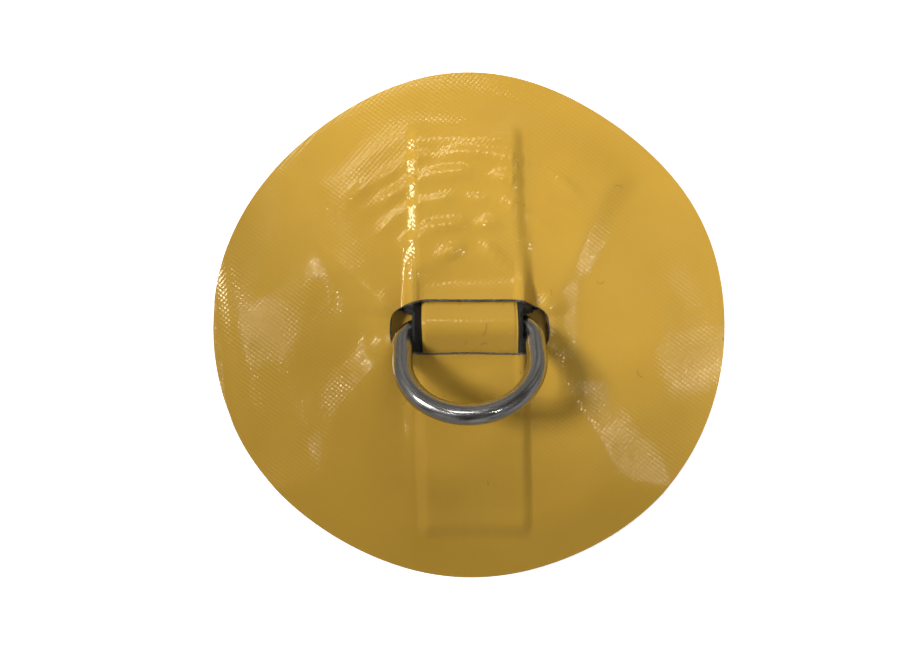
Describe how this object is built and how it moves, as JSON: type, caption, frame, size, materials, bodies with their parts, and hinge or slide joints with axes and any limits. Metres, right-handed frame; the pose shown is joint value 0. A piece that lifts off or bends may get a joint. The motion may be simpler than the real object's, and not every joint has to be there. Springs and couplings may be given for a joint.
{
  "type": "d-ring patch",
  "caption": "Glue-on pad eye for an inflatable boat: a round coated-fabric patch with a steel D-ring in a sewn strap.",
  "frame": {"origin": "on the glue face, under the middle of the D-ring's bar", "axes": "+Z out of the glue face towards the ring, +X along the ring's bar and across the strap, +Y along the strap, away from the side that the ring leans to"},
  "size_m": [0.2055, 0.2035, 0.0389],
  "materials": {
    "coated_fabric": "glossy PVC-coated polyester, yellow",
    "black_webbing": "woven black webbing",
    "seam_thread": "bonded polyester thread",
    "polished_steel": "polished stainless steel"
  },
  "bodies": {
    "patch": {"base_disc": "coated_fabric", "reinforcing_disc": "coated_fabric", "butterfly_strap": "black_webbing", "strap_cover": "coated_fabric", "cover_disc": "coated_fabric", "upper_stitch_row_1": "seam_thread", "upper_stitch_row_2": "seam_thread", "upper_stitch_row_3": "seam_thread", "upper_stitch_row_4": "seam_thread", "upper_stitch_row_5": "seam_thread", "lower_stitch_row_1": "seam_thread", "lower_stitch_row_2": "seam_thread", "lower_stitch_row_3": "seam_thread", "lower_stitch_row_4": "seam_thread", "lower_stitch_row_5": "seam_thread"},
    "ring": {"d_ring": "polished_steel"}
  },
  "joints": [
    {"name": "ring_hinge", "type": "hinge", "parent": "patch", "child": "ring", "pos_m": [0, 0, 0.0064], "axis": [-0.9989, -0.0471, 0], "range_deg": [0, 82]}
  ]
}
